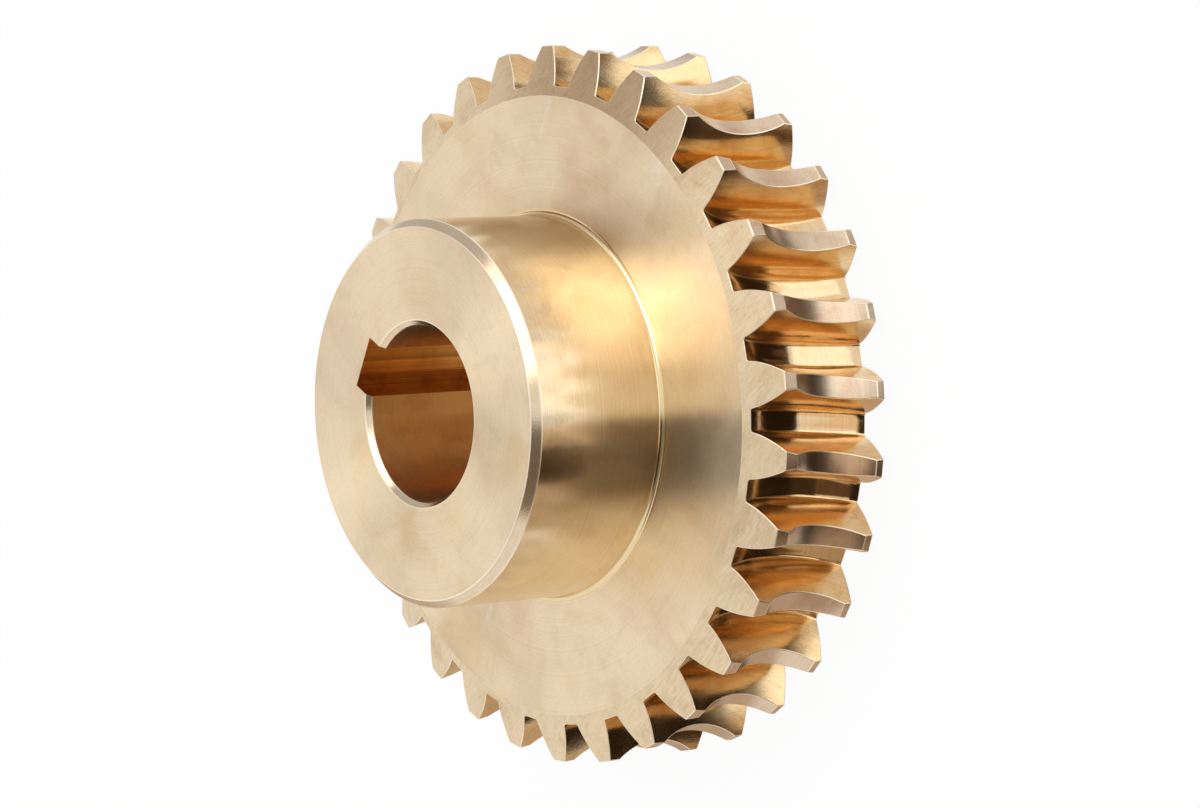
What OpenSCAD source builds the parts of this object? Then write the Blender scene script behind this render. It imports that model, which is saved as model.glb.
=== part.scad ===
// Worm wheel with a hub on one side, a keyed bore and a throated rim.
// The axis is +Z, the flat back face lies on z = 0 and the keyway points along +X.
// Sizes are in millimetres and angles in degrees.

/* [Gearing] */
// Number of teeth
teeth = 30; // [24:1:60]
// Axial module of the mating worm
worm_module = 4; // [3:0.25:5]
// Number of starts of the mating worm
worm_starts = 1; // [1:1:3]
// Pitch diameter of the mating worm
worm_pitch_d = 40; // [36:1:60]
// Pressure angle of the thread in the worm's axial section
pressure_angle = 15; // [14.5:0.5:20]
// Clearance between the worm's crest and the root of the teeth
root_clearance = 1; // [0.6:0.05:1.2]
// Play between the worm's thread and a tooth space, across the flanks
backlash = 0.3; // [0:0.05:0.5]
// Rounding of the hob's corners, which leaves the small fillet at each root
hob_corner_r = 0.4; // [0.1:0.05:0.6]
// Angle from the middle of the keyway to the middle of the nearest tooth space
tooth_phase = 2.1; // [0:0.1:12]

/* [Rim] */
// Width of the rim between its two flat faces
rim_w = 27.2; // [22:0.1:32]
// How far the rim's outside stands beyond the tip circle
rim_extra = 2; // [1:0.1:2.4]
// Radial width of the bevel across the ends of the teeth
bevel_w = 9.1; // [7:0.1:11]
// Slope of that bevel from the flat face
bevel_angle = 14.5; // [5:0.5:20]
// How much deeper the throat is turned than the tip circle
throat_relief = 0.7; // [0.2:0.1:1]
// How far the middle of the throat lies behind the middle of the rim
throat_shift = 0.6; // [0:0.1:1]

/* [Hub] */
// Diameter of the hub
hub_d = 70; // [60:1:80]
// How far the hub stands out from the rim's face
hub_len = 28; // [10:0.5:50]
// Chamfer round the hub's end
hub_chamfer = 1.4; // [0.5:0.1:3]
// Fillet round the hub's foot
hub_fillet = 1.1; // [0.5:0.1:3]

/* [Bore and keyway] */
// Diameter of the bore
bore_d = 32; // [20:1:40]
// Chamfer at each end of the bore
bore_chamfer = 0.9; // [0.4:0.1:2]
// Width of the keyway
key_w = 10; // [6:1:12]
// Depth of the keyway from the top of the bore
key_depth = 3.4; // [2:0.1:4.5]

/* [Hidden] */

// Pitch radius of the wheel
pitch_r = teeth * worm_module / 2;
// Pitch radius of the worm
worm_r = worm_pitch_d / 2;
// Distance between the wheel's axis and the worm's
centre_distance = pitch_r + worm_r;
// Crest radius of the hob that cuts the teeth
hob_r = worm_r + worm_module + root_clearance;
// Travel of the thread along the worm in one turn
lead = PI * worm_module * worm_starts;
// Outer radius of the rim
rim_r = pitch_r + worm_module + rim_extra;
// Radius of the rim's flat faces, inside the bevels
face_r = rim_r - bevel_w;
// Depth of the bevels at the rim's outside
bevel_h = bevel_w * tan(bevel_angle);
// Radius of the throat's arc, round the worm's axis
throat_r = worm_r - worm_module + throat_relief;
// Height of the plane in which the worm's axis lies
mid_z = rim_w / 2;
// Height of the wheel with its hub
height = rim_w + hub_len;
// How far a cutting shape runs past the surface that it cuts
past = 1;
// Facets in a full turn of a curved surface
round_fn = 180;

// Steps up a flank, steps across the throat and steps down the hob's section
flank_steps = 5;
throat_steps = 8;
hob_steps = 40;
// Steps in which a radius on a slanting line across the teeth is found
solve_steps = 8;
// Height of the hob's section, from its crest to past the rim's outside
hob_reach = hob_r - worm_r + worm_module + rim_extra + past;

// Half the thickness of the hob's straight-sided thread at radius rho from its axis
function straight_half(rho) =
    PI * worm_module / 4 + backlash / 2 - (rho - worm_r) * tan(pressure_angle);

// Middle of the circle that rounds the hob's corner, as [distance from the thread's middle, radius]
corner_mid = [
    straight_half(hob_r - hob_corner_r) - hob_corner_r / cos(pressure_angle),
    hob_r - hob_corner_r
];
// Radius at which that rounding meets the straight side
corner_start = corner_mid.y + hob_corner_r * sin(pressure_angle);

// Half the thickness of the hob's thread with its rounded corner
function thread_half(rho) =
    rho < corner_start
    ? straight_half(rho)
    : corner_mid.x + sqrt(max(0, pow(hob_corner_r, 2) - pow(rho - corner_mid.y, 2)));

// The thread's side at height h above the hob's axis, in the plane at distance y from that axis.
// The thread advances by one lead a turn, so its section shifts along with the angle round the hob.
function thread_edge(h, y, side) =
    side * thread_half(norm([h, y])) + lead * atan2(y, h) / 360;

// Angle on the wheel of a point of the thread's side, once the two have rolled until it is w off centre
function rolled_angle(h, w, edge) =
    atan2(w, centre_distance - h) - (w - edge) / pitch_r * 180 / PI;

// Edge of a tooth space at radius r in the plane at distance y: the furthest that the hob reaches
function space_edge(r, y, side) =
    let (crest = hob_height(y))
    side * max([
        for (i = [0:hob_steps])
        let (h = crest - hob_reach * i / hob_steps, x = centre_distance - h)
        if (i == 0 || x <= r)
        let (w = sqrt(max(0, pow(r, 2) - pow(x, 2))), edge = thread_edge(h, y, side))
        max(side * rolled_angle(h, w, edge), side * rolled_angle(h, -w, edge))
    ]);

// Height of the hob's crest above its axis in the plane at distance y
function hob_height(y) = sqrt(pow(hob_r, 2) - pow(y, 2));

// Radius of the root in the plane at distance y from the worm's axis
function root_r(y) = centre_distance - hob_height(y);

// Radius of the tooth tips in that plane: the throat's arc, and the rim's outside beyond its edges
function tip_r(y) =
    let (d = min(abs(y + throat_shift), throat_r))
    min(rim_r, centre_distance - sqrt(pow(throat_r, 2) - pow(d, 2)));

// Distance from the worm's plane at radius r, a share u of the way from that plane to the bevels.
// The share runs from -1 on the back bevel to 1 on the front one.
function across(u, r) = u * (rim_w / 2 - (r - face_r) * tan(bevel_angle));

// Radii at which the line of share u meets the roots and the tips, found in n steps from a first guess
function root_on(u, r, n) = n <= 0 ? r : root_on(u, root_r(across(u, r)), n - 1);
function tip_on(u, r, n) = n <= 0 ? r : tip_on(u, tip_r(across(u, r)), n - 1);

// Shares across the teeth at which sections are taken: the bevels and even steps over the throat
throat_half_w = sqrt(pow(throat_r, 2) - pow(centre_distance - rim_r, 2));
tip_half_w = rim_w / 2 - bevel_h;
throat_back = max(-1, (-throat_half_w - throat_shift) / tip_half_w);
throat_front = min(1, (throat_half_w - throat_shift) / tip_half_w);
shares = concat(
    throat_back > -1 ? [-1] : [],
    [for (i = [0:throat_steps]) throat_back + (throat_front - throat_back) * i / throat_steps],
    throat_front < 1 ? [1] : []
);

// Radii up a flank: the root, the top of its fillet and even steps to the tip
function flank_radii(u) =
    let (root = root_on(u, pitch_r, solve_steps), tip = tip_on(u, rim_r, solve_steps))
    let (fillet_top = root + hob_corner_r, steps = flank_steps - 1)
    concat([root], [for (i = [0:steps]) fillet_top + (tip - fillet_top) * i / steps]);

// Outline of one tooth space on the line of share u, down one flank and up the other.
// Its points are [radius, angle, distance from the worm's plane].
function space_outline(u) =
    let (radii = flank_radii(u), root = radii[0])
    let (down = [for (i = [flank_steps:-1:0]) flank_point(u, radii[i], -1)])
    let (up = [for (i = [0:flank_steps]) flank_point(u, radii[i], 1)])
    concat(down, [[root, (down[flank_steps].y + up[0].y) / 2, across(u, root)]], up);
function flank_point(u, r, side) =
    let (y = across(u, r))
    [r, space_edge(r, y, side), y];

// Points that close a tooth's end: the middle of its foot, then four on the edge of the flat face
function end_outline(u) =
    let (outline = space_outline(u), foot = [for (i = [0:2]) outline[flank_steps + i]])
    let (middle = (foot[2].y + foot[0].y + 360 / teeth) / 2)
    concat(
        [[foot[0].x, middle, foot[0].z]],
        [for (angle = [foot[0].y, foot[1].y, foot[2].y, middle]) [face_r, angle, u * rim_w / 2]]
    );

// Point [radius, angle, distance] of tooth space i, in the wheel's own frame
function placed(p, i) =
    let (angle = p.y + tooth_phase + i * 360 / teeth)
    [p.x * cos(angle), p.x * sin(angle), mid_z + p.z];

// Points in one tooth space's outline and in one tooth's end
space_points = 2 * flank_steps + 3;
end_points = 5;

// Number of point j of space i in section s, and of point j of tooth i on one end of the wheel
function at(s, i, j) = (s * teeth + i % teeth) * space_points + j;
function at_end(end, i, j) =
    len(shares) * teeth * space_points + (end * teeth + i % teeth) * end_points + j;

// Two triangles for a face with four corners
function halves(q) = [[q[0], q[1], q[2]], [q[0], q[2], q[3]]];

// Faces of the tooth and the tooth space i between sections s and s + 1
function side_faces(s, i) = [
    for (j = [0:space_points - 1])
    let (k = (j + 1) % space_points, next = k == 0 ? i + 1 : i)
    each halves([at(s, i, j), at(s + 1, i, j), at(s + 1, next, k), at(s, next, k)])
];

// Faces on one end of tooth i: its bevelled end, the bevel under it and the bevel under the space
function end_faces(end, i) =
    let (s = end * (len(shares) - 1), f = flank_steps, middle = at_end(end, i, 0))
    let (right = [for (j = [0:f]) at(s, i, f + 2 + j)], left = [for (j = [0:f]) at(s, i + 1, f - j)])
    let (outer = [at(s, i, f), at(s, i, f + 1), right[0], middle, left[0]])
    let (inner = [for (j = [1:end_points - 1]) at_end(end, i, j), at_end(end, i + 1, 1)])
    concat(
        [[right[0], right[1], middle], [right[1], left[1], middle], [left[1], left[0], middle]],
        [for (j = [1:f - 1]) each halves([right[j], right[j + 1], left[j + 1], left[j]])],
        [for (j = [0:end_points - 2]) each halves([inner[j], outer[j], outer[j + 1], inner[j + 1]])]
    );

// The face as seen from the back, turned round where it lies on the front
function facing(end, face) = end == 0 ? face : [for (i = [len(face) - 1:-1:0]) face[i]];

// The rim with its teeth and its web, down to the axis
module toothed_disc() {
    points = concat(
        [
            for (u = shares)
            let (outline = space_outline(u))
            for (i = [0:teeth - 1], p = outline) placed(p, i)
        ],
        [
            for (u = [-1, 1])
            let (outline = end_outline(u))
            for (i = [0:teeth - 1], p = outline) placed(p, i)
        ]
    );
    sides = [for (s = [0:len(shares) - 2], i = [0:teeth - 1]) each side_faces(s, i)];
    ends = [for (end = [0, 1], i = [0:teeth - 1], face = end_faces(end, i)) facing(end, face)];
    flats = [
        for (end = [0, 1])
        facing(end, [for (i = [0:teeth - 1], j = [1:end_points - 1]) at_end(end, i, j)])
    ];
    polyhedron(points, concat(sides, ends, flats));
}

// The hub with its chamfered end and the fillet round its foot
module hub() {
    hub_r = hub_d / 2;
    rotate_extrude($fn = round_fn)
        difference() {
            polygon([
                [0, rim_w - past],
                [hub_r + hub_fillet, rim_w - past],
                [hub_r + hub_fillet, rim_w + hub_fillet],
                [hub_r, rim_w + hub_fillet],
                [hub_r, height - hub_chamfer],
                [hub_r - hub_chamfer, height],
                [0, height]
            ]);
            translate([hub_r + hub_fillet, rim_w + hub_fillet])
                circle(hub_fillet, $fn = round_fn);
        }
}

// The bore with its chamfered mouths
module bore() {
    bore_r = bore_d / 2;
    translate([0, 0, -past])
        cylinder(height + 2 * past, r = bore_r, $fn = round_fn);
    translate([0, 0, -past])
        cylinder(bore_chamfer + past, bore_r + bore_chamfer + past, bore_r, $fn = round_fn);
    translate([0, 0, height - bore_chamfer])
        cylinder(bore_chamfer + past, bore_r, bore_r + bore_chamfer + past, $fn = round_fn);
}

// The keyway, cut through from end to end along +X
module keyway() {
    translate([0, -key_w / 2, -past])
        cube([bore_d / 2 + key_depth, key_w, height + 2 * past]);
}

module worm_wheel() {
    color("#d3b27c")
        difference() {
            union() {
                toothed_disc();
                hub();
            }
            bore();
            keyway();
        }
}

worm_wheel();
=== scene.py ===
"""Bronze worm wheel: the finished looks of the machined piece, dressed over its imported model.

The wheel is one turned, bored and hobbed casting. It stands on its flat back face with its hub up, so its
axis is +Z, and its keyway points along +X. One closed mesh stands for the whole piece. Lengths are in
millimetres in the classes and turned to metres where a mesh is made. Angles are in degrees.
"""

import logging
import math
from dataclasses import dataclass, field
from enum import Enum

import bmesh
import bpy
from mathutils import Matrix, Vector


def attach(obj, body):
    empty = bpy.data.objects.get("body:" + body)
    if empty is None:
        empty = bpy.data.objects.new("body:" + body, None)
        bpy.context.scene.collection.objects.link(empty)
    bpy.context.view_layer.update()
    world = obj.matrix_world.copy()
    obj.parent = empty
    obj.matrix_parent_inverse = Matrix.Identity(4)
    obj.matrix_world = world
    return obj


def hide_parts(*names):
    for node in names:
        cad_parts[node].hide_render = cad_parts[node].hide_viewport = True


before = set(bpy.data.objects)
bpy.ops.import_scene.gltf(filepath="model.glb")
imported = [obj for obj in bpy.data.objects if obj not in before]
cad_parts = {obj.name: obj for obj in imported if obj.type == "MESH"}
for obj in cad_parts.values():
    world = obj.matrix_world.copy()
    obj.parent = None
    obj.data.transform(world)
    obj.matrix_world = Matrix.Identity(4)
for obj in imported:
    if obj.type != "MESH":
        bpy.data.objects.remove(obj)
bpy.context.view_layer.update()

log = logging.getLogger("worm_wheel")
MM = 0.001
# Range in which nearly all values of a fine noise pattern lie
NOISE_RANGE = (0.3, 0.7)

Tree = bpy.types.NodeTree
Socket = bpy.types.NodeSocket
Object = bpy.types.Object
Point = tuple[float, float, float]
Colour = tuple[float, float, float, float]


def linear(hex_colour: str) -> Colour:
    """Turns an sRGB hex colour into the linear values that a shader takes.

    Args:
        hex_colour: Six hex digits, such as "e0cbaa".

    Returns:
        Linear red, green and blue, and full opacity.
    """
    channels = [int(hex_colour[i : i + 2], 16) / 255 for i in (0, 2, 4)]
    red, green, blue = (
        c / 12.92 if c <= 0.04045 else ((c + 0.055) / 1.055) ** 2.4 for c in channels
    )
    return red, green, blue, 1.0


def add_node(
    tree: Tree,
    kind: str,
    settings: dict[str, object] | None = None,
    inputs: dict[str | int, object] | None = None,
) -> bpy.types.Node:
    """Adds a node with its settings, values and links.

    Args:
        tree: Node tree that gets the node.
        kind: Node type, such as "ShaderNodeMath".
        settings: Attributes of the node itself.
        inputs: Input socket to a value, or to the output socket that it is linked from.

    Returns:
        The new node.
    """
    node = tree.nodes.new(kind)
    for name, value in (settings or {}).items():
        setattr(node, name, value)
    for name, value in (inputs or {}).items():
        if isinstance(value, Socket):
            tree.links.new(value, node.inputs[name])
        else:
            node.inputs[name].default_value = value
    return node


def add_maths(tree: Tree, operation: str, *values: float | Socket) -> Socket:
    """Adds a calculation.

    Args:
        tree: Node tree that gets the node.
        operation: What is done with the values, such as "MULTIPLY".
        values: Numbers or output sockets, in the node's own order.

    Returns:
        The result.
    """
    settings = {"operation": operation}
    return add_node(tree, "ShaderNodeMath", settings, dict(enumerate(values))).outputs[0]


def add_ramp(
    tree: Tree,
    value: Socket,
    start: tuple[float, float],
    end: tuple[float, float] = (0.0, 1.0),
    smooth: bool = False,
) -> Socket:
    """Adds a map from one range of values to another.

    Args:
        tree: Node tree that gets the node.
        value: Value to map.
        start: Range that the value comes in.
        end: Range that it goes out in.
        smooth: Whether it eases in and out of the ends of the range.

    Returns:
        The mapped value.
    """
    settings = {"interpolation_type": "SMOOTHSTEP" if smooth else "LINEAR"}
    ranges = {"From Min": start[0], "From Max": start[1], "To Min": end[0], "To Max": end[1]}
    return add_node(tree, "ShaderNodeMapRange", settings, {"Value": value, **ranges}).outputs["Result"]


def add_noise(tree: Tree, place: Socket, size_mm: float, **pattern: float) -> Socket:
    """Adds a noise pattern of a real size.

    Args:
        tree: Node tree that gets the node.
        place: Place on the object.
        size_mm: Size of the largest patches.
        pattern: Other values of the node, by the names of their sockets.

    Returns:
        The pattern, about 0.5 in its middle.
    """
    inputs = {"Vector": place, "Scale": 1 / (size_mm * MM), **pattern}
    return add_node(tree, "ShaderNodeTexNoise", {}, inputs).outputs["Fac"]


def new_material(name: str) -> bpy.types.Material:
    """Makes a material with an empty node tree.

    Args:
        name: Name of the material.

    Returns:
        The material.
    """
    material = bpy.data.materials.new(name)
    material.use_nodes = True
    material.node_tree.nodes.clear()
    return material


def select_only(piece: Object) -> None:
    """Selects one object, and nothing else, for the next tool.

    Args:
        piece: Object that the next tool works on.
    """
    bpy.ops.object.select_all(action="DESELECT")
    piece.select_set(True)
    bpy.context.view_layer.objects.active = piece


@dataclass(frozen=True)
class Gearing:
    """The worm drive that the wheel belongs to, from which its tooth form follows."""

    teeth: int = 30
    worm_module: float = 4.0
    worm_starts: int = 1
    worm_pitch_d: float = 40.0
    pressure_angle: float = 15.0
    root_clearance: float = 1.0
    backlash: float = 0.3
    hob_corner_r: float = 0.4
    tooth_phase: float = 2.1
    hob_steps: int = 240

    @property
    def pitch_r(self) -> float:
        """Pitch radius of the wheel."""
        return self.teeth * self.worm_module / 2

    @property
    def worm_r(self) -> float:
        """Pitch radius of the worm."""
        return self.worm_pitch_d / 2

    @property
    def centre_distance(self) -> float:
        """Distance between the wheel's axis and the worm's."""
        return self.pitch_r + self.worm_r

    @property
    def hob_r(self) -> float:
        """Crest radius of the hob that cuts the teeth."""
        return self.worm_r + self.worm_module + self.root_clearance

    @property
    def pitch_angle(self) -> float:
        """Angle from one tooth to the next."""
        return 360 / self.teeth

    def thread_half(self, rho: float) -> float:
        """Half the thickness of the hob's thread, with its rounded corner.

        Args:
            rho: Radius from the hob's axis.

        Returns:
            Distance from the thread's middle to its side.
        """
        lean = math.radians(self.pressure_angle)
        slope = math.tan(lean)
        middle = math.pi * self.worm_module / 4 + self.backlash / 2
        corner_rho = self.hob_r - self.hob_corner_r
        corner_start = corner_rho + self.hob_corner_r * math.sin(lean)
        if rho < corner_start:
            return middle - (rho - self.worm_r) * slope
        across = middle - (corner_rho - self.worm_r) * slope
        across -= self.hob_corner_r / math.cos(lean)
        return across + math.sqrt(max(0.0, self.hob_corner_r**2 - (rho - corner_rho) ** 2))

    def root_r(self, y: float) -> float:
        """Root radius of the teeth in the plane at distance y from the worm's axis."""
        return self.centre_distance - math.sqrt(self.hob_r**2 - y**2)

    def space_edge(self, r: float, y: float, side: int) -> float:
        """Edge of a tooth space: the furthest that the rolling hob reaches.

        Args:
            r: Radius on the wheel.
            y: Distance from the plane of the worm's axis.
            side: 1 or -1 for the two flanks of the space.

        Returns:
            Angle from the middle of the space, in degrees.
        """
        crest = math.sqrt(self.hob_r**2 - y**2)
        reach = self.hob_r - self.worm_r + 2 * self.worm_module
        lead = math.pi * self.worm_module * self.worm_starts
        best = -math.inf
        for step in range(self.hob_steps + 1):
            h = crest - reach * step / self.hob_steps
            x = self.centre_distance - h
            if step and x > r:
                continue
            w = math.sqrt(max(0.0, r * r - x * x))
            edge = side * self.thread_half(math.hypot(h, y)) + lead * math.atan2(y, h) / math.tau
            for offset in (w, -w):
                angle = math.atan2(offset, x) - (offset - edge) / self.pitch_r
                best = max(best, side * angle)
        return side * math.degrees(best)


@dataclass(frozen=True)
class HobbedRim:
    """The rim: thirty spaces cut by the hob, the throat, and the bevels across the ends of the teeth."""

    gearing: Gearing = field(default_factory=Gearing)
    width: float = 27.2
    extra: float = 2.0
    bevel_w: float = 9.1
    bevel_angle: float = 14.5
    throat_relief: float = 0.7
    throat_shift: float = 0.6
    fillet_steps: int = 5
    flank_steps: int = 13
    root_steps: int = 4
    tip_steps: int = 6
    flat_steps: int = 2
    throat_steps: int = 20
    rounds: int = 10

    @property
    def outer_r(self) -> float:
        """Outer radius of the rim."""
        return self.gearing.pitch_r + self.gearing.worm_module + self.extra

    @property
    def face_r(self) -> float:
        """Radius of the rim's flat faces, inside the bevels."""
        return self.outer_r - self.bevel_w

    @property
    def throat_r(self) -> float:
        """Radius of the throat's arc, round the worm's axis."""
        return self.gearing.worm_r - self.gearing.worm_module + self.throat_relief

    def across(self, share: float, r: float) -> float:
        """Distance from the worm's plane at radius r, a share of the way to the bevels."""
        slope = math.tan(math.radians(self.bevel_angle))
        return share * (self.width / 2 - (r - self.face_r) * slope)

    def tip_r(self, y: float) -> float:
        """Radius of the tooth tips: the throat, and the rim's outside beyond it.

        Args:
            y: Distance from the plane of the worm's axis.

        Returns:
            The radius in that plane.
        """
        d = min(abs(y + self.throat_shift), self.throat_r)
        arc = self.gearing.centre_distance - math.sqrt(self.throat_r**2 - d * d)
        return min(self.outer_r, arc)

    def radii(self, share: float) -> list[float]:
        """Radii up a flank: close steps over the root fillet, then even ones to the tip.

        Args:
            share: Share of the way across the teeth, from -1 on the back bevel to 1 on the front one.

        Returns:
            Radii from the root to the tip.
        """
        root, tip = self.gearing.pitch_r, self.outer_r
        for _ in range(self.rounds):
            root = self.gearing.root_r(self.across(share, root))
            tip = self.tip_r(self.across(share, tip))
        corner = self.gearing.hob_corner_r
        quarter = [math.pi / 2 * i / self.fillet_steps for i in range(self.fillet_steps)]
        fillet = [root + corner * (1 - math.cos(a)) for a in quarter]
        start = root + corner
        steps = self.flank_steps
        return fillet + [start + (tip - start) * i / steps for i in range(steps + 1)]

    def shares(self) -> list[float]:
        """Shares across the teeth at which sections are taken.

        Returns:
            Shares from -1 to 1, with one on each edge of the throat.
        """
        half = math.sqrt(self.throat_r**2 - (self.gearing.centre_distance - self.outer_r) ** 2)
        flat = self.across(1.0, self.outer_r)
        back, front = ((side * half - self.throat_shift) / flat for side in (-1, 1))
        steps = self.throat_steps
        throat = [back + (front - back) * i / steps for i in range(steps + 1)]
        ends = range(self.flat_steps)
        behind = [-1 + (back + 1) * i / self.flat_steps for i in ends]
        before = [1 - (1 - front) * i / self.flat_steps for i in reversed(ends)]
        return behind + throat + before

    def outline(self, share: float) -> list[Point]:
        """Outline of one space and the tip after it.

        Args:
            share: Share of the way across the teeth.

        Returns:
            Points as radius, angle and distance from the worm's plane.
        """
        radii = self.radii(share)
        heights = [self.across(share, r) for r in radii]
        edges = {
            side: [self.gearing.space_edge(r, y, side) for r, y in zip(radii, heights)]
            for side in (-1, 1)
        }
        down = [(r, a, y) for r, a, y in zip(radii, edges[-1], heights)][::-1]
        up = [(r, a, y) for r, a, y in zip(radii, edges[1], heights)]
        root = self.between(down[-1], up[0], self.root_steps)
        next_tip = (down[0][0], down[0][1] + self.gearing.pitch_angle, down[0][2])
        tip = self.between(up[-1], next_tip, self.tip_steps)
        return down + root + up + tip

    @staticmethod
    def between(first: Point, last: Point, steps: int) -> list[Point]:
        """Points in even steps between two, without the two themselves."""
        shares = [i / steps for i in range(1, steps)]
        return [tuple(a + (b - a) * s for a, b in zip(first, last)) for s in shares]

    def place(self, point: Point, space: int) -> Vector:
        """A point of a space's outline in the wheel's own frame.

        Args:
            point: Radius, angle and distance from the worm's plane.
            space: Which of the tooth spaces it belongs to.

        Returns:
            The point, in metres.
        """
        r, angle, y = point
        turn = math.radians(angle + self.gearing.tooth_phase + space * self.gearing.pitch_angle)
        return Vector((r * math.cos(turn), r * math.sin(turn), self.width / 2 + y)) * MM

    def build(self) -> Object:
        """Builds the toothed rim as one strip.

        Returns:
            The rim, open at the edges of its two flat faces.
        """
        teeth = self.gearing.teeth
        outlines = [self.outline(share) for share in self.shares()]
        per_space = len(outlines[0])
        mesh = bmesh.new()
        grid = [
            [[mesh.verts.new(self.place(p, i)) for p in outline] for i in range(teeth)]
            for outline in outlines
        ]
        for low, high in zip(grid, grid[1:]):
            for i in range(teeth):
                for j in range(per_space):
                    k = (j + 1) % per_space
                    n = (i + 1) % teeth if k == 0 else i
                    mesh.faces.new((low[i][j], low[n][k], high[n][k], high[i][j]))
        self.close_end(mesh, grid[0], outlines[0], front=False)
        self.close_end(mesh, grid[-1], outlines[-1], front=True)
        data = bpy.data.meshes.new("worm_wheel_rim")
        mesh.to_mesh(data)
        mesh.free()
        rim = bpy.data.objects.new("wheel", data)
        bpy.context.collection.objects.link(rim)
        return rim

    def close_end(
        self,
        mesh: bmesh.types.BMesh,
        section: list[list[bmesh.types.BMVert]],
        outline: list[Point],
        front: bool,
    ) -> None:
        """Adds the bevelled ends of the teeth and the ring of bevel between them and the flat face.

        Args:
            mesh: Mesh that gets the faces.
            section: The end section's corners, by space and place in the outline.
            outline: The end section's outline.
            front: Whether this is the hub's side.
        """
        flank = self.fillet_steps + self.flank_steps
        land = self.root_steps - 1
        teeth = self.gearing.teeth

        def face(*corners: bmesh.types.BMVert) -> None:
            mesh.faces.new(corners[::-1] if front else corners)

        feet = []
        for i in range(teeth):
            following = section[(i + 1) % teeth]
            rising = [section[i][flank + land + 1 + j] for j in range(flank + 1)]
            falling = [following[flank - j] for j in range(flank + 1)]
            rows = []
            for j in range(flank):
                start = outline[flank + land + 1 + j]
                r, angle, y = outline[flank - j]
                end = (r, angle + self.gearing.pitch_angle, y)
                inner = [
                    mesh.verts.new(self.place(p, i)) for p in self.between(start, end, self.tip_steps)
                ]
                rows.append([rising[j], *inner, falling[j]])
            tip = [section[i][2 * flank + land + 2 + j] for j in range(self.tip_steps - 1)]
            rows.append([rising[flank], *tip, falling[flank]])
            for low, high in zip(rows, rows[1:]):
                for q in range(self.tip_steps):
                    face(low[q], high[q], high[q + 1], low[q + 1])
            feet += [section[i][flank + j] for j in range(land + 1)] + rows[0][:-1]
        height = self.width if front else 0.0
        count = len(feet)
        first = -self.root_steps / 2
        ring = []
        for q in range(count):
            turn = math.radians(self.gearing.tooth_phase + (first + q) * 360 / count)
            at = Vector((self.face_r * math.cos(turn), self.face_r * math.sin(turn), height))
            ring.append(mesh.verts.new(at * MM))
        for q in range(count):
            k = (q + 1) % count
            face(ring[q], feet[q], feet[k], ring[k])


class Finish(Enum):
    """How each part of the surface was cut, in the order of the mesh's material slots."""

    FACED = 0
    BEVELLED = 1
    TURNED = 2
    CHAMFERED = 3
    THROATED = 4
    FLANKED = 5
    ROOTED = 6
    BORED = 7
    BROACHED = 8
    FILLETED = 9
    BURNISHED_AND_HIGHLIT = 10


class Marks(Enum):
    """The way that a cutting tool's fine marks repeat."""

    OUT_FROM_AXIS = "rings on a face, one after another from the axis"
    ALONG_AXIS = "rings on a cylinder, one after another along the axis"
    ACROSS_KEYWAY = "straight lines along the keyway, one beside another"
    ROUND_WORM = "arcs round the worm's axis, one outside another"


@dataclass(frozen=True)
class Tarnish:
    """One layer of mottling: soft patches of another tone over the metal."""

    colour: str
    patch_mm: float
    share: float
    low: float = 0.45
    high: float = 0.7
    stretch: Point = (1.0, 1.0, 1.0)
    detail: float = 6.0
    raggedness: float = 0.64
    swirl: float = 0.6

    def over(self, tree: Tree, place: Socket, below: Socket | Colour) -> Socket:
        """Lays the patches over a colour.

        Args:
            tree: Node tree of the material.
            place: Place on the object.
            below: Colour that the patches lie on.

        Returns:
            The mottled colour.
        """
        spread = {"Vector": place, "Scale": self.stretch}
        lie = add_node(tree, "ShaderNodeMapping", {"vector_type": "TEXTURE"}, spread)
        pattern = {"Detail": self.detail, "Roughness": self.raggedness, "Distortion": self.swirl}
        patch = add_noise(tree, lie.outputs[0], self.patch_mm, **pattern)
        amount = add_ramp(tree, patch, (self.low, self.high), (0.0, self.share), smooth=True)
        tones = {0: amount, 6: below, 7: linear(self.colour)}
        return add_node(tree, "ShaderNodeMix", {"data_type": "RGBA"}, tones).outputs[2]


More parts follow.
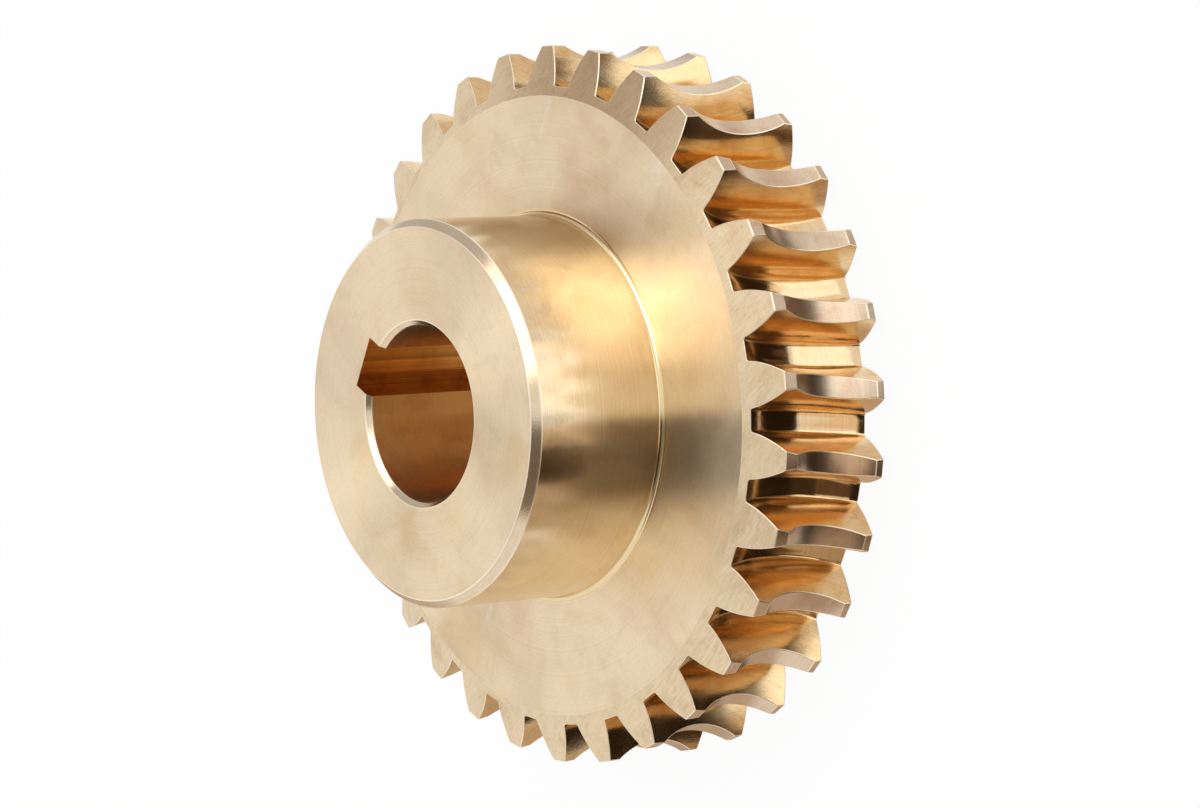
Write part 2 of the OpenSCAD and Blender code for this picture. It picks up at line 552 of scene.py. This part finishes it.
@dataclass(frozen=True)
class MachinedBronze:
    """Cast gun-metal bronze as the cutting tool left it: bright, pale gold and finely marked.

    The tool's marks give the eye a soft streak across them. A faint tarnish mottles the colour, a fine
    grain breaks up the reflections, and hair scratches cross the surfaces that have them. A finish without
    tarnish has one even colour. On a tarnished finish, shade is painted into the grooves of the marks, grain
    and scratches, and highlight is painted onto the ridges of the marks and grain.
    """

    name: str
    colour: str = "ebd6b5"
    layers: tuple[Tarnish, ...] = (
        Tarnish("dcbb86", 17, 0.45),
        Tarnish("dfbfa4", 22, 0.5, 0.5, 0.7),
        Tarnish("f4e6cf", 7, 0.5, 0.58, 0.75, (1.0, 6.0, 1.0)),
        Tarnish("b99c74", 4, 0.22, 0.55, 0.85),
        Tarnish("cbb899", 10, 0.3, 0.52, 0.7),
    )
    roughness: float = 0.28
    rough_spread: float = 0.05
    rough_patch_mm: float = 8.0
    rough_range: tuple[float, float] = (0.35, 0.7)
    streak: float = 0.95
    streak_turn: float = 0.25
    marks: Marks = Marks.OUT_FROM_AXIS
    mark_mm: float = 0.5
    mark_depth_mm: float = 0.003
    # The shade values: how much shade is painted into each relief's grooves, and highlight onto its ridges
    mark_shade: float = 0.04
    grain_mm: float = 0.35
    grain_depth_mm: float = 0.002
    grain_shade: float = 0.035
    scratch_mm: float = 0.16
    scratch_length: float = 50.0
    scratch_depth_mm: float = 0.002
    scratch_shade: float = 0.0
    scratch_from: float = 0.6
    scratch_to: float = 0.8
    scratch_turns: tuple[float, ...] = (12.0, 58.0, 101.0, 146.0)
    worm_axis: tuple[float, float] = (80.0, 13.6)

    def material(self) -> bpy.types.Material:
        """Builds the node material.

        Returns:
            The material.
        """
        material = new_material(self.name)
        tree = material.node_tree
        place = add_node(tree, "ShaderNodeTexCoord").outputs["Object"]
        marks = self.tool_marks(tree, place)
        grain = add_noise(tree, place, self.grain_mm, Detail=2.0, Roughness=0.6)
        scratches = self.scratches(tree, place) if self.scratch_shade else None
        colour = linear(self.colour)
        if self.layers:
            colour = self.mottled_with_painted_shade(tree, place, marks, grain, scratches)
        normal = self.bumped(tree, marks, self.mark_depth_mm)
        normal = self.bumped(tree, grain, self.grain_depth_mm, normal)
        if scratches is not None:
            normal = self.bumped(tree, scratches, self.scratch_depth_mm, normal)
        handled = add_noise(tree, place, self.rough_patch_mm, Detail=2.0, Distortion=0.4)
        limits = (self.roughness, self.roughness + self.rough_spread)
        tangent = add_node(tree, "ShaderNodeTangent", {"direction_type": "RADIAL", "axis": "Z"})
        shader = add_node(
            tree,
            "ShaderNodeBsdfPrincipled",
            {},
            {
                "Base Color": colour,
                "Metallic": 1.0,
                "Roughness": add_ramp(tree, handled, self.rough_range, limits, smooth=True),
                "Anisotropic": self.streak,
                "Anisotropic Rotation": self.streak_turn,
                "Normal": normal,
                "Tangent": tangent.outputs["Tangent"],
            },
        )
        add_node(tree, "ShaderNodeOutputMaterial", {}, {"Surface": shader.outputs["BSDF"]})
        return material

    def mottled_with_painted_shade(
        self, tree: Tree, place: Socket, marks: Socket, grain: Socket, scratches: Socket | None
    ) -> Socket:
        """The metal's colour under its tarnish, with shade painted into grooves and highlight onto ridges.

        Args:
            tree: Node tree of the material.
            place: Place on the object.
            marks: Height of the tool's marks.
            grain: Height of the grain.
            scratches: Depth of the scratches, where there are any.

        Returns:
            The colour.
        """
        colour = linear(self.colour)
        for layer in self.layers:
            colour = layer.over(tree, place, colour)
        # Painted shade in the grooves and painted highlight on the ridges of the marks and grain; scratches
        # only get painted shade
        shades = (self.shaded(tree, marks, self.mark_shade), self.shaded(tree, grain, self.grain_shade))
        shade = add_maths(tree, "MULTIPLY", *shades)
        if scratches is not None:
            shade = add_maths(tree, "MULTIPLY_ADD", scratches, -self.scratch_shade, shade)
        return add_node(
            tree, "ShaderNodeVectorMath", {"operation": "SCALE"}, {0: colour, "Scale": shade}
        ).outputs[0]

    @staticmethod
    def bumped(tree: Tree, height: Socket, depth_mm: float, normal: Socket | None = None) -> Socket:
        """Raises the surface by a height.

        Args:
            tree: Node tree of the material.
            height: Height of the relief, from 0 to 1.
            depth_mm: How high 1 stands.
            normal: Normal that the relief stands on, where there is one.

        Returns:
            The new normal.
        """
        below = {} if normal is None else {"Normal": normal}
        return add_node(
            tree, "ShaderNodeBump", {}, {"Height": height, "Distance": depth_mm * MM, **below}
        ).outputs["Normal"]

    @staticmethod
    def shaded(tree: Tree, height: Socket, share: float) -> Socket:
        """A factor about 1 that paints shade into the low places of a relief and a highlight onto its high
        ones.

        Args:
            tree: Node tree of the material.
            height: Height of the relief.
            share: How far the factor goes from 1.

        Returns:
            The factor.
        """
        return add_ramp(tree, height, NOISE_RANGE, (1 - share, 1 + share))

    def tool_marks(self, tree: Tree, place: Socket) -> Socket:
        """The tool's marks, from 0 in a groove to 1 on a ridge.

        Args:
            tree: Node tree of the material.
            place: Place on the object.

        Returns:
            Height of the marks.
        """
        parts = add_node(tree, "ShaderNodeSeparateXYZ", {}, {"Vector": place}).outputs
        if self.marks is Marks.ALONG_AXIS:
            along = parts["Z"]
        elif self.marks is Marks.ACROSS_KEYWAY:
            along = parts["Y"]
        else:
            along = self.length(tree, parts["X"], parts["Y"])
        if self.marks is Marks.ROUND_WORM:
            centre_distance, middle = (value * MM for value in self.worm_axis)
            out = add_maths(tree, "SUBTRACT", along, centre_distance)
            up = add_maths(tree, "SUBTRACT", parts["Z"], middle)
            along = self.length(tree, out, up)
        lines = add_node(
            tree,
            "ShaderNodeTexNoise",
            {"noise_dimensions": "1D"},
            {"W": along, "Scale": 1 / (self.mark_mm * MM), "Detail": 4.0, "Roughness": 0.75},
        )
        return lines.outputs["Fac"]

    @staticmethod
    def length(tree: Tree, across: Socket, up: Socket) -> Socket:
        """Length of a flat vector.

        Args:
            tree: Node tree of the material.
            across: The vector's first part.
            up: The vector's second part.

        Returns:
            The length.
        """
        flat = add_node(tree, "ShaderNodeCombineXYZ", {}, {"X": across, "Y": up})
        return add_node(
            tree, "ShaderNodeVectorMath", {"operation": "LENGTH"}, {0: flat.outputs[0]}
        ).outputs["Value"]

    def scratches(self, tree: Tree, place: Socket) -> Socket:
        """Hair scratches in a few directions, from 0 on the metal to 1 in one.

        Args:
            tree: Node tree of the material.
            place: Place on the object.

        Returns:
            Depth of the scratches.
        """
        depth = None
        for turn in self.scratch_turns:
            drawn = {
                "Vector": place,
                "Rotation": (0, 0, math.radians(turn)),
                "Scale": (self.scratch_length, 1.0, self.scratch_length),
            }
            lie = add_node(tree, "ShaderNodeMapping", {"vector_type": "TEXTURE"}, drawn)
            lines = add_noise(tree, lie.outputs[0], self.scratch_mm, Detail=1.0)
            cut = add_ramp(tree, lines, (self.scratch_from, self.scratch_to))
            depth = cut if depth is None else add_maths(tree, "MAXIMUM", depth, cut)
        return depth


@dataclass(frozen=True)
class FaceLimits:
    """Limits by which the cut of a face is told.

    The lengths are in millimetres. The others are shares of a face's unit normal: up or down the axis, or
    straight out from it.
    """

    key_slack: float = 0.1
    bore_slack: float = 0.3
    foot_slack: float = 0.5
    bevel_slack: float = 0.5
    land_depth: float = 2.0
    wall: float = 0.5
    rounding: float = 0.95
    flat: float = 0.995
    bevel: float = 0.93
    outward: float = 0.97


@dataclass(frozen=True)
class WormWheel:
    """The whole machined piece: rim, web, hub, bore and keyway."""

    rim: HobbedRim = field(default_factory=HobbedRim)
    limits: FaceLimits = field(default_factory=FaceLimits)
    hub_d: float = 70.0
    hub_len: float = 28.0
    hub_chamfer: float = 1.4
    hub_fillet: float = 1.1
    fillet_steps: int = 6
    web_inset: float = 5.0
    bore_d: float = 32.0
    bore_chamfer: float = 0.9
    key_w: float = 10.0
    key_depth: float = 3.4
    cutter_extra: float = 2.0
    weld: float = 0.01
    edge_break: float = 0.14
    break_segments: int = 2
    smooth_angle: float = 20.0
    sharp_angle: float = 28.0

    @property
    def height(self) -> float:
        """Height of the wheel with its hub."""
        return self.rim.width + self.hub_len

    def profile(self) -> list[tuple[float, float]]:
        """Turned profile, from the rim's front face round the hub and the bore to the back face.

        Returns:
            Radius and height of each turned edge.
        """
        hub_r, bore_r = self.hub_d / 2, self.bore_d / 2
        foot_r = hub_r + self.hub_fillet
        foot_z = self.rim.width + self.hub_fillet
        quarter = [math.pi / 2 * i / self.fillet_steps for i in range(self.fillet_steps + 1)]
        fillet = [
            (foot_r - self.hub_fillet * math.sin(a), foot_z - self.hub_fillet * math.cos(a))
            for a in quarter
        ]
        web = [
            (self.rim.face_r - self.web_inset, self.rim.width),
            (foot_r + self.web_inset, self.rim.width),
        ]
        return [
            *web,
            *fillet,
            (hub_r, self.rim.width + self.hub_len / 3),
            (hub_r, self.rim.width + self.hub_len * 2 / 3),
            (hub_r, self.height - self.hub_chamfer),
            (hub_r - self.hub_chamfer, self.height),
            ((hub_r + bore_r) / 2, self.height),
            (bore_r + self.bore_chamfer, self.height),
            (bore_r, self.height - self.bore_chamfer),
            (bore_r, self.height * 2 / 3),
            (bore_r, self.height / 3),
            (bore_r, self.bore_chamfer),
            (bore_r + self.bore_chamfer, 0.0),
            (hub_r, 0.0),
            (self.rim.face_r - self.web_inset, 0.0),
            (self.rim.face_r, 0.0),
        ]

    def turn(self, wheel: Object) -> None:
        """Draws the open front edge of the rim inwards through the turned profile, to the back edge.

        Args:
            wheel: The toothed rim.
        """
        select_only(wheel)
        self.select_ring(wheel, self.rim.face_r, self.rim.width)
        bpy.ops.object.mode_set(mode="EDIT")
        radius, height = self.rim.face_r, self.rim.width
        for next_radius, next_height in self.profile():
            bpy.ops.mesh.extrude_edges_move(
                TRANSFORM_OT_translate={"value": (0, 0, (next_height - height) * MM)}
            )
            scale = next_radius / radius
            bpy.ops.transform.resize(value=(scale, scale, 1), center_override=(0, 0, 0))
            radius, height = next_radius, next_height
        bpy.ops.mesh.select_all(action="SELECT")
        bpy.ops.mesh.remove_doubles(threshold=self.weld * MM)
        bpy.ops.mesh.normals_make_consistent(inside=False)
        bpy.ops.object.mode_set(mode="OBJECT")

    @staticmethod
    def select_ring(wheel: Object, radius: float, height: float) -> None:
        """Selects the mesh's edges that lie on one circle round the axis, and nothing else.

        Args:
            wheel: The wheel so far.
            radius: Radius of the circle.
            height: Height of the circle.
        """
        near = 0.001 * MM
        on_ring = [
            abs(math.hypot(v.co.x, v.co.y) - radius * MM) < near
            and abs(v.co.z - height * MM) < near
            for v in wheel.data.vertices
        ]
        for vertex, chosen in zip(wheel.data.vertices, on_ring):
            vertex.select = chosen
        for edge in wheel.data.edges:
            edge.select = all(on_ring[i] for i in edge.vertices)
        for polygon in wheel.data.polygons:
            polygon.select = False

    def cut_keyway(self, wheel: Object) -> None:
        """Cuts the keyway through the bore's wall with a square cutter.

        Args:
            wheel: The turned wheel.
        """
        depth = self.bore_d / 2 + self.key_depth
        bpy.ops.object.select_all(action="DESELECT")
        bpy.ops.mesh.primitive_cube_add(size=1, location=(depth / 2 * MM, 0, self.height / 2 * MM))
        cutter = bpy.context.active_object
        cutter.name = "key_cutter"
        cutter.scale = (depth * MM, self.key_w * MM, (self.height + self.cutter_extra) * MM)
        bpy.ops.object.transform_apply(location=True, rotation=True, scale=True)
        cut = wheel.modifiers.new("keyway", "BOOLEAN")
        cut.operation = "DIFFERENCE"
        cut.solver = "EXACT"
        cut.object = cutter
        select_only(wheel)
        bpy.ops.object.modifier_apply(modifier=cut.name)
        bpy.data.objects.remove(cutter)

    def break_edges(self, wheel: Object) -> None:
        """Takes the tiny break off every sharp edge that turning and hobbing leave.

        Args:
            wheel: The turned wheel, with its materials.
        """
        select_only(wheel)
        bevel = wheel.modifiers.new("edge_break", "BEVEL")
        bevel.limit_method = "ANGLE"
        bevel.angle_limit = math.radians(self.sharp_angle)
        bevel.width = self.edge_break * MM
        bevel.segments = self.break_segments
        # The edge breaks take a pale colour that is partly a painted highlight
        bevel.material = Finish.BURNISHED_AND_HIGHLIT.value
        bpy.ops.object.modifier_apply(modifier=bevel.name)

    def shade(self, wheel: Object) -> None:
        """Shades the surfaces smooth between their edges, and the edge breaks flat.

        Args:
            wheel: The finished shape.
        """
        select_only(wheel)
        for height in (0.0, self.rim.width):
            self.select_ring(wheel, self.rim.face_r, height)
            bpy.ops.object.mode_set(mode="EDIT")
            bpy.ops.mesh.mark_sharp()
            bpy.ops.object.mode_set(mode="OBJECT")
        bpy.ops.object.shade_smooth_by_angle(
            angle=math.radians(self.smooth_angle), keep_sharp_edges=True
        )
        breaks = {
            key
            for polygon in wheel.data.polygons
            if polygon.material_index == Finish.BURNISHED_AND_HIGHLIT.value
            for key in polygon.edge_keys
        }
        for edge in wheel.data.edges:
            if edge.key in breaks:
                edge.use_edge_sharp = True

    def finish_of(self, middle: Vector, normal: Vector) -> Finish:
        """How the surface at a place was cut, from its place and the way it faces.

        Args:
            middle: Middle of the face, in metres.
            normal: The way that the face looks.

        Returns:
            The finish that the cut leaves.
        """
        r, z = math.hypot(middle.x, middle.y) / MM, middle.z / MM
        gearing, limits = self.rim.gearing, self.limits
        key_corner = math.hypot(self.bore_d / 2 + self.key_depth, self.key_w / 2)
        slope = abs(normal.z)
        if r < key_corner + limits.key_slack and slope < limits.wall:
            on_bore = abs(r - self.bore_d / 2) < limits.bore_slack
            return Finish.BORED if on_bore else Finish.BROACHED
        foot_r = self.hub_d / 2 + self.hub_fillet
        if r < foot_r + limits.foot_slack and slope < limits.rounding:
            if not self.bore_chamfer < z < self.height - self.hub_chamfer:
                return Finish.CHAMFERED
            return Finish.FILLETED if z < self.rim.width + self.hub_fillet else Finish.TURNED
        if slope > limits.flat:
            return Finish.FACED
        if slope > limits.bevel and r > self.rim.face_r - limits.bevel_slack:
            return Finish.BEVELLED
        above_root = r - gearing.root_r(z - self.rim.width / 2)
        outward = (normal.x * middle.x + normal.y * middle.y) / (r * MM)
        if outward < limits.outward * math.sqrt(max(0.0, 1 - normal.z**2)):
            return Finish.FLANKED
        return Finish.THROATED if above_root > limits.land_depth else Finish.ROOTED

    @staticmethod
    def finishes() -> dict[Finish, MachinedBronze]:
        """The finish that each kind of cut leaves.

        Returns:
            The finishes, in the order of the mesh's material slots.
        """
        along = Marks.ALONG_AXIS
        return {
            # Pale satin faces, clouded with tarnish, with a sheen that swings round the axis
            Finish.FACED: MachinedBronze(
                "bronze_faced",
                rough_spread=0.08, rough_patch_mm=14, grain_depth_mm=0.0035, scratch_shade=0.06,
            ),
            # Duller tooth ends, crossed by close hair strokes that catch the light in fine dashes
            Finish.BEVELLED: MachinedBronze(
                "bronze_bevelled", "e4ceab",
                (Tarnish("ccae88", 8, 0.5), Tarnish("9d8666", 2.5, 0.3, 0.5, 0.8)),
                roughness=0.3, streak=0.5, scratch_mm=0.26, scratch_length=12, scratch_from=0.5,
                scratch_shade=0.15, scratch_depth_mm=0.003, scratch_turns=(67.0, 76.0),
            ),
            # The hub's outside: broad bands of light and dark, drawn out along the axis over hair-fine rings
            Finish.TURNED: MachinedBronze(
                "bronze_turned", "f0dcb8", (Tarnish("d9b482", 9, 0.4),), marks=along,
                mark_mm=0.45, mark_depth_mm=0.004, mark_shade=0.07, grain_depth_mm=0.001,
                roughness=0.17, rough_spread=0.02, streak=0.75,
            ),
            # Crisp bands round the edges that flash from bright to dark, with a little grain
            Finish.CHAMFERED: MachinedBronze(
                "bronze_chamfered", "e0cdb0",
                (Tarnish("d9b482", 9, 0.5), Tarnish("b7946a", 3, 0.2, 0.5, 0.8)),
                roughness=0.14, streak=0.2, grain_mm=0.25, grain_depth_mm=0.01,
            ),
            # The throat across the tooth tips: a soft pinkish satin with fine lines
            Finish.THROATED: MachinedBronze(
                "bronze_throated", "dbc5ab", (Tarnish("c6a488", 6, 0.6),), marks=along,
                roughness=0.25, rough_spread=0.02, streak=0.5,
                mark_mm=0.4, mark_depth_mm=0.002, mark_shade=0.05,
            ),
            # Warm golden flanks, a little wavy, in which the next tooth glows
            Finish.FLANKED: MachinedBronze(
                "bronze_hobbed_flank", "efd0a0",
                (Tarnish("dcaa6c", 6, 0.6), Tarnish("9c754a", 2, 0.25, 0.5, 0.8)),
                marks=Marks.ROUND_WORM, mark_mm=0.6, mark_depth_mm=0.006, mark_shade=0.06,
                roughness=0.16, streak=0.3, grain_depth_mm=0.004, scratch_mm=0.3,
                scratch_length=10, scratch_from=0.5, scratch_shade=0.1, scratch_depth_mm=0.004,
            ),
            # Almost clear mirrors at the roots, which turn from bright to dark in one step
            Finish.ROOTED: MachinedBronze(
                "bronze_hobbed_root", "e5c9a0", (Tarnish("d8b488", 6, 0.5),), marks=along,
                mark_shade=0.08, roughness=0.08, streak=0.0,
            ),
            # The bore's brown-gold satin, drawn into soft bars along the axis
            Finish.BORED: MachinedBronze(
                "bronze_bored", "e6c392",
                (Tarnish("d0a068", 8, 0.6), Tarnish("a9814f", 2.5, 0.15, 0.5, 0.8)),
                marks=along, streak=0.7, grain_depth_mm=0.004,
            ),
            # The keyway, darker and coarser, with broad dark bands: broach marks and painted shade
            Finish.BROACHED: MachinedBronze(
                "bronze_broached", "dcb27a",
                (Tarnish("c4925a", 6, 0.6), Tarnish("8f6a3e", 2.5, 0.3, 0.5, 0.8)),
                marks=Marks.ACROSS_KEYWAY, mark_mm=1.4, mark_depth_mm=0.02, mark_shade=0.45,
                roughness=0.15, streak=0.2,
            ),
            # A thin bright thread of light round the hub's foot
            Finish.FILLETED: MachinedBronze(
                "bronze_turned_fillet", "e8d2a6", (), roughness=0.14, streak=0.0
            ),
            # A soft pale line along every broken edge: partly burnished metal, partly a painted highlight
            Finish.BURNISHED_AND_HIGHLIT: MachinedBronze(
                "bronze_burnished_edge_and_painted_highlight", "f8e9d0", (), roughness=0.35, streak=0.0
            ),
        }

    def dress(self, wheel: Object) -> None:
        """Gives each face the finish of its own cut, apart from the broken edges, which have theirs.

        Args:
            wheel: The finished shape, with its materials.
        """
        for polygon in wheel.data.polygons:
            if polygon.material_index != Finish.BURNISHED_AND_HIGHLIT.value:
                polygon.material_index = self.finish_of(polygon.center, polygon.normal).value

    def build(self) -> Object:
        """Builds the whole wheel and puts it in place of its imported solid.

        Returns:
            The wheel.
        """
        wheel = self.rim.build()
        self.turn(wheel)
        wheel.data.materials.clear()
        for bronze in self.finishes().values():
            wheel.data.materials.append(bronze.material())
        self.break_edges(wheel)
        self.cut_keyway(wheel)
        self.shade(wheel)
        self.dress(wheel)
        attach(wheel, "root")
        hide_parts("worm_wheel")
        return wheel


@dataclass(frozen=True)
class Panel:
    """A panel of the studio, placed by the direction in which it lies as the picture shows it.

    The azimuth counts to the right from the camera's own direction, and the elevation upwards from it.
    The spans are the angles that the panel's width and height take up, seen from the wheel, and the roll
    turns the panel in its own plane. The distance is in metres.
    """

    name: str
    azimuth: float
    elevation: float
    span: tuple[float, float]
    level: float = 0.0
    roll: float = 0.0
    distance: float = 2.0

    def side(self, angle: float) -> float:
        """Length of a side that spans an angle at the panel's distance."""
        return 2 * self.distance * math.tan(math.radians(angle / 2))

    def placed(self, view: Matrix) -> Matrix:
        """Place of the panel, facing the wheel.

        Args:
            view: The camera's right, up and back axes.

        Returns:
            The panel's place in the scene.
        """
        azimuth, elevation = math.radians(self.azimuth), math.radians(self.elevation)
        flat = math.cos(elevation)
        toward = Vector((flat * math.sin(azimuth), math.sin(elevation), flat * math.cos(azimuth)))
        back = view @ toward
        right = (view @ Vector((0, 1, 0))).cross(back).normalized()
        turn = Matrix((right, back.cross(right), back)).transposed().to_4x4()
        roll = Matrix.Rotation(math.radians(self.roll), 4, "Z")
        return Matrix.Translation(back * self.distance) @ turn @ roll


@dataclass(frozen=True)
class Flag(Panel):
    """A dark flag or a toned card, which the bright metal mirrors and nothing else sees."""

    colour: str = "ffc896"

    def build(self, view: Matrix) -> Object:
        """Hangs the flag.

        Args:
            view: The camera's right, up and back axes.

        Returns:
            The flag.
        """
        half_w, half_h = (self.side(angle) / 2 for angle in self.span)
        corners = [(-half_w, -half_h), (half_w, -half_h), (half_w, half_h), (-half_w, half_h)]
        data = bpy.data.meshes.new(self.name)
        data.from_pydata([self.placed(view) @ Vector((x, y, 0)) for x, y in corners], [], [range(4)])
        # An even tone without sheen, so that the metal shows it as one plain patch
        velvet = new_material(self.name + "_velvet")
        tree = velvet.node_tree
        tone = add_node(
            tree, "ShaderNodeEmission", {}, {"Color": linear(self.colour), "Strength": self.level}
        )
        add_node(tree, "ShaderNodeOutputMaterial", {}, {"Surface": tone.outputs[0]})
        data.materials.append(velvet)
        flag = bpy.data.objects.new(self.name, data)
        bpy.context.collection.objects.link(flag)
        flag.visible_camera = flag.visible_diffuse = flag.visible_shadow = False
        return flag


@dataclass(frozen=True)
class Softbox(Panel):
    """A softbox: an even rectangle of light."""

    def build(self, view: Matrix) -> Object:
        """Hangs the lamp, with the power that gives its face the stated level.

        Args:
            view: The camera's right, up and back axes.

        Returns:
            The lamp.
        """
        lamp = bpy.data.lights.new(self.name, "AREA")
        lamp.shape = "RECTANGLE"
        lamp.size, lamp.size_y = (self.side(angle) for angle in self.span)
        lamp.energy = self.level * math.pi * lamp.size * lamp.size_y
        softbox = bpy.data.objects.new(self.name, lamp)
        bpy.context.collection.objects.link(softbox)
        softbox.matrix_world = self.placed(view)
        return softbox


@dataclass(frozen=True)
class Studio:
    """A plain pale floor and soft light all round, with the camera at the photograph's angle.

    Each panel is listed as name, azimuth, elevation, spans, level, roll, distance and colour.
    """

    floor_size: float = 6.0
    floor_glow: float = 0.95
    world_fill: float = 0.75
    view_azimuth: float = -148.158
    view_tilt: float = 52.336
    view_roll: float = -93.706
    view_distance_mm: float = 721.5
    aim_mm: Point = (0.298, 0.541, 13.6)
    focal_px: float = 3879.9
    image_w: int = 1200
    sensor_w: float = 36.0
    flags: tuple[Flag, ...] = (
        Flag("flag_right", 97.8, -9, (44.6, 46), 0.02, -9),
        Flag("flag_upper", 101, 21.5, (40, 17), 0.12),
        Flag("flag_top", 104, 33.5, (34, 7), 0.12),
        Flag("flag_far", 132, 12, (38, 28), 0.2),
        Flag("flag_corner", 70, -25.5, (26, 17), 0.05),
        Flag("flag_band", 47, -31, (60, 13), 0.12),
        Flag("flag_front", 5, -27, (36, 38), 0.03),
        Flag("flag_shoulder", -34, -27, (42, 38), 0.23, 0, 2.05, "ffeedd"),
        Flag("flag_left", -97, 28, (34, 22), 0.28),
        Flag("card_tan", 47, -16, (54, 16), 0.95, 0, 2.1, "ffe6cc"),
        Flag("card_over", 115, 55, (56, 24), 0.78, 0, 2.2, "fff4ea"),
        Flag("card_below", 50, -50, (84, 32), 0.5, 0, 2.1, "ffe2c4"),
        Flag("card_high", -108, 50, (90, 34), 0.6, 0, 2.2, "ffffff"),
        Flag("card_low", 165, -36, (76, 56), 0.58, 0, 2.4, "ffe6cc"),
    )
    softboxes: tuple[Softbox, ...] = (
        Softbox("softbox_high", -36, 34, (44, 44), 1.6),
        Softbox("softbox_right", 50, 18, (50, 38), 0.52),
    )

    def floor(self) -> Object:
        """The pale floor that the wheel stands on and throws its shadow on.

        Returns:
            The floor.
        """
        bpy.ops.object.select_all(action="DESELECT")
        bpy.ops.mesh.primitive_plane_add(size=self.floor_size)
        floor = bpy.context.active_object
        floor.name = "floor"
        # Matt paper, lit to near white where the camera sees it, which still takes the wheel's shadow
        material = new_material("pale_floor")
        tree = material.node_tree
        rays = add_node(tree, "ShaderNodeLightPath")
        glow = add_node(tree, "ShaderNodeEmission", {}, {"Color": linear("ffffff"), "Strength": 1.0})
        paper = add_node(tree, "ShaderNodeBsdfDiffuse", {}, {"Color": linear("f4f3f1")})
        share = add_maths(tree, "MULTIPLY", rays.outputs["Is Camera Ray"], self.floor_glow)
        surface = add_node(
            tree, "ShaderNodeMixShader", {}, {0: share, 1: paper.outputs[0], 2: glow.outputs[0]}
        )
        add_node(tree, "ShaderNodeOutputMaterial", {}, {"Surface": surface.outputs[0]})
        floor.data.materials.append(material)
        floor.visible_glossy = False
        return floor

    def world(self) -> None:
        """Even white all round: full white to the camera and in reflections, softer as a fill."""
        world = bpy.data.worlds.new("studio")
        world.use_nodes = True
        world.cycles.sampling_method = "NONE"
        tree = world.node_tree
        tree.nodes.clear()
        rays = add_node(tree, "ShaderNodeLightPath").outputs
        seen = add_maths(tree, "MAXIMUM", rays["Is Camera Ray"], rays["Is Glossy Ray"])
        white = linear("ffffff")
        fill, full = (
            add_node(tree, "ShaderNodeBackground", {}, {"Color": white, "Strength": strength})
            for strength in (self.world_fill, 1.0)
        )
        both = add_node(
            tree, "ShaderNodeMixShader", {}, {0: seen, 1: fill.outputs[0], 2: full.outputs[0]}
        )
        add_node(tree, "ShaderNodeOutputWorld", {}, {"Surface": both.outputs[0]})
        bpy.context.scene.world = world

    def view(self) -> Matrix:
        """The way that the camera looks, rolled so that the wheel's axis lies level in the picture.

        Returns:
            The camera's right, up and back axes.
        """
        tilt, azimuth = math.radians(self.view_tilt), math.radians(self.view_azimuth)
        across = math.sin(tilt)
        back = Vector((across * math.cos(azimuth), across * math.sin(azimuth), math.cos(tilt)))
        level = Vector((0, 0, 1)).cross(back).normalized()
        upright = back.cross(level)
        roll = math.radians(self.view_roll)
        right = level * math.cos(roll) + upright * math.sin(roll)
        return Matrix((right, back.cross(right), back)).transposed()

    def camera(self) -> Object:
        """The camera where the photograph was taken from.

        Returns:
            The camera.
        """
        data = bpy.data.cameras.new("camera")
        data.sensor_fit = "HORIZONTAL"
        data.sensor_width = self.sensor_w
        data.lens = self.focal_px / self.image_w * self.sensor_w
        camera = bpy.data.objects.new("camera", data)
        bpy.context.collection.objects.link(camera)
        view = self.view()
        place = (Vector(self.aim_mm) + view.col[2] * self.view_distance_mm) * MM
        camera.matrix_world = Matrix.Translation(place) @ view.to_4x4()
        bpy.context.scene.camera = camera
        return camera

    def build(self) -> None:
        """Sets the floor, the light and the camera."""
        self.floor()
        self.world()
        self.camera()
        for panel in self.flags + self.softboxes:
            panel.build(self.view())
        bpy.context.scene.view_settings.view_transform = "Standard"


def main() -> None:
    """Builds the wheel, then the studio."""
    logging.basicConfig(level=logging.INFO, format="%(message)s")
    wheel = WormWheel().build()
    wheel.data.calc_loop_triangles()
    log.info("wheel: %d triangles", len(wheel.data.loop_triangles))
    studio = Studio()
    studio.build()
    log.info("studio: %d panels and %d softboxes", len(studio.flags), len(studio.softboxes))


if __name__ == "__main__":
    main()
